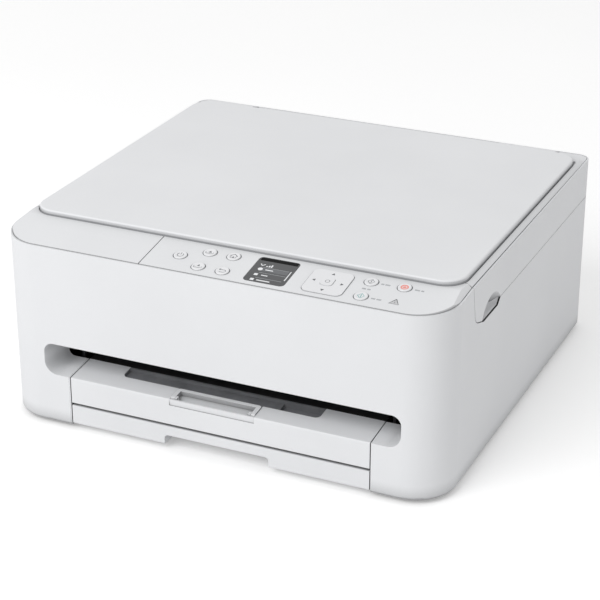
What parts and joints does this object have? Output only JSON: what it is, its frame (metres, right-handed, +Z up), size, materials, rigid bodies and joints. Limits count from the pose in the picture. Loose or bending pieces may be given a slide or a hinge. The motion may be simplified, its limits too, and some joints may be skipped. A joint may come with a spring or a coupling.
{
  "type": "multifunction printer",
  "caption": "White desktop multifunction printer with a flat document cover over a scanner bed, a sloping control panel with a small screen, a front paper outlet and a pull-out cassette.",
  "frame": {"origin": "centre of the footprint on the surface it stands on", "axes": "+X to the right seen from the front, +Y from front to back, +Z up"},
  "size_m": [0.372, 0.355, 0.1645],
  "materials": {
    "white_shell": "satin",
    "dark_plastic": "satin",
    "rubber": "matte",
    "clear_glass": "polished",
    "screen_glass": "gloss",
    "lamp": "gloss",
    "steel": "satin",
    "board": "satin",
    "pad_sheet": "matte"
  },
  "bodies": {
    "printer_body": {"main_shell": "white_shell", "rear_panel": "white_shell", "base_pan": "dark_plastic", "feet": "rubber", "left_top_panel": "white_shell", "control_panel": "white_shell", "lcd_window": "screen_glass", "lcd_module": "steel", "alarm_lamp": "lamp", "control_board": "board", "output_tray": "white_shell", "inner_tray": "dark_plastic", "roller_belt": "rubber", "scanner_hinge_pins": "steel", "inner_frame": "dark_plastic", "platen_plate": "dark_plastic", "star_wheel_bar": "dark_plastic", "carriage_rail": "steel", "capping_unit": "dark_plastic", "ink_absorber": "dark_plastic", "power_supply": "dark_plastic", "mains_inlet": "dark_plastic", "usb_port": "steel", "main_board": "board", "feed_motor": "steel", "carriage_motor": "steel"},
    "scanner_unit": {"scanner_case": "white_shell", "platen_frame": "white_shell", "platen_glass": "clear_glass", "cover_hinge_pins": "steel", "scan_rod": "steel"},
    "cover": {"document_cover": "white_shell", "cover_pad": "pad_sheet"},
    "scan_carriage": {"scan_head": "dark_plastic", "lens_strip": "clear_glass"},
    "cassette": {"cassette_tray": "white_shell"},
    "guide_left": {"paper_guide_left": "dark_plastic"},
    "guide_right": {"paper_guide_right": "dark_plastic"},
    "guide_end": {"end_guide": "dark_plastic"},
    "support": {"output_support": "dark_plastic"},
    "stopper": {"paper_stopper": "white_shell"},
    "rear_door": {"rear_cover": "white_shell"},
    "carriage": {"print_carriage": "dark_plastic", "black_cartridge": "dark_plastic", "colour_cartridge": "dark_plastic"},
    "exit_shaft": {"exit_roller": "rubber"},
    "feed_shaft": {"feed_roller": "rubber"},
    "power_button_body": {"power_button": "white_shell"},
    "menu_button_1_body": {"menu_button_1": "white_shell"},
    "menu_button_2_body": {"menu_button_2": "white_shell"},
    "menu_button_3_body": {"menu_button_3": "white_shell"},
    "menu_button_4_body": {"menu_button_4": "white_shell"},
    "black_button_body": {"black_button": "white_shell"},
    "stop_button_body": {"stop_button": "white_shell"},
    "colour_button_body": {"colour_button": "white_shell"},
    "direction_pad_body": {"direction_pad": "white_shell"},
    "ok_button_body": {"ok_button": "white_shell"}
  },
  "joints": [
    {"name": "scanner_lift", "type": "hinge", "parent": "printer_body", "child": "scanner_unit", "pos_m": [0, 0.1719, 0.1305], "axis": [-1, 0, 0], "range_deg": [0, 45]},
    {"name": "cover_lift", "type": "hinge", "parent": "scanner_unit", "child": "cover", "pos_m": [0, 0.168, 0.157], "axis": [-1, 0, 0], "range_deg": [0, 88]},
    {"name": "scan_travel", "type": "slide", "parent": "scanner_unit", "child": "scan_carriage", "axis": [1, 0, 0], "range_m": [0, 0.3]},
    {"name": "cassette_pull", "type": "slide", "parent": "printer_body", "child": "cassette", "axis": [0, -1, 0], "range_m": [0, 0.33]},
    {"name": "guide_left_slide", "type": "slide", "parent": "cassette", "child": "guide_left", "axis": [1, 0, 0], "range_m": [0, 0.05]},
    {"name": "guide_right_slide", "type": "slide", "parent": "cassette", "child": "guide_right", "axis": [-1, 0, 0], "range_m": [0, 0.05]},
    {"name": "guide_end_slide", "type": "slide", "parent": "cassette", "child": "guide_end", "axis": [0, -1, 0], "range_m": [0, 0.08]},
    {"name": "support_pull", "type": "slide", "parent": "printer_body", "child": "support", "axis": [0, -0.9956, -0.0941], "range_m": [0, 0.085]},
    {"name": "stopper_flip", "type": "hinge", "parent": "support", "child": "stopper", "pos_m": [-0.001, -0.17382, 0.04474], "axis": [1, 0, 0], "range_deg": [0, 95]},
    {"name": "rear_door_open", "type": "hinge", "parent": "printer_body", "child": "rear_door", "pos_m": [0.002, 0.172, 0.0335], "axis": [-1, 0, 0], "range_deg": [0, 80]},
    {"name": "carriage_travel", "type": "slide", "parent": "printer_body", "child": "carriage", "axis": [-1, 0, 0], "range_m": [0, 0.236]},
    {"name": "feed_spin", "type": "hinge", "parent": "printer_body", "child": "feed_shaft", "pos_m": [0, 0.05, 0.062], "axis": [1, 0, 0], "continuous": true},
    {"name": "exit_spin", "type": "hinge", "parent": "printer_body", "child": "exit_shaft", "pos_m": [0, -0.05, 0.062], "axis": [1, 0, 0], "continuous": true},
    {"name": "power_button_press", "type": "slide", "parent": "printer_body", "child": "power_button_body", "axis": [0, 0.1483, -0.9889], "range_m": [0, 0.001], "stiffness_N_per_m": 600, "springref_m": -0.0002},
    {"name": "menu_button_1_press", "type": "slide", "parent": "printer_body", "child": "menu_button_1_body", "axis": [0, 0.1483, -0.9889], "range_m": [0, 0.001], "stiffness_N_per_m": 600, "springref_m": -0.0002},
    {"name": "menu_button_2_press", "type": "slide", "parent": "printer_body", "child": "menu_button_2_body", "axis": [0, 0.1483, -0.9889], "range_m": [0, 0.001], "stiffness_N_per_m": 600, "springref_m": -0.0002},
    {"name": "menu_button_3_press", "type": "slide", "parent": "printer_body", "child": "menu_button_3_body", "axis": [0, 0.1483, -0.9889], "range_m": [0, 0.001], "stiffness_N_per_m": 600, "springref_m": -0.0002},
    {"name": "menu_button_4_press", "type": "slide", "parent": "printer_body", "child": "menu_button_4_body", "axis": [0, 0.1483, -0.9889], "range_m": [0, 0.001], "stiffness_N_per_m": 600, "springref_m": -0.0002},
    {"name": "black_button_press", "type": "slide", "parent": "printer_body", "child": "black_button_body", "axis": [0, 0.1483, -0.9889], "range_m": [0, 0.001], "stiffness_N_per_m": 600, "springref_m": -0.0002},
    {"name": "stop_button_press", "type": "slide", "parent": "printer_body", "child": "stop_button_body", "axis": [0, 0.1483, -0.9889], "range_m": [0, 0.001], "stiffness_N_per_m": 600, "springref_m": -0.0002},
    {"name": "colour_button_press", "type": "slide", "parent": "printer_body", "child": "colour_button_body", "axis": [0, 0.1483, -0.9889], "range_m": [0, 0.001], "stiffness_N_per_m": 600, "springref_m": -0.0002},
    {"name": "direction_pad_press", "type": "slide", "parent": "printer_body", "child": "direction_pad_body", "axis": [0, 0.1483, -0.9889], "range_m": [0, 0.001], "stiffness_N_per_m": 900, "springref_m": -0.0002},
    {"name": "ok_button_press", "type": "slide", "parent": "printer_body", "child": "ok_button_body", "axis": [0, 0.1483, -0.9889], "range_m": [0, 0.001], "stiffness_N_per_m": 600, "springref_m": -0.0002}
  ],
  "couplings": [
    {"joint": "guide_right_slide", "follows": "guide_left_slide", "ratio": 1},
    {"joint": "exit_spin", "follows": "feed_spin", "ratio": 1}
  ]
}
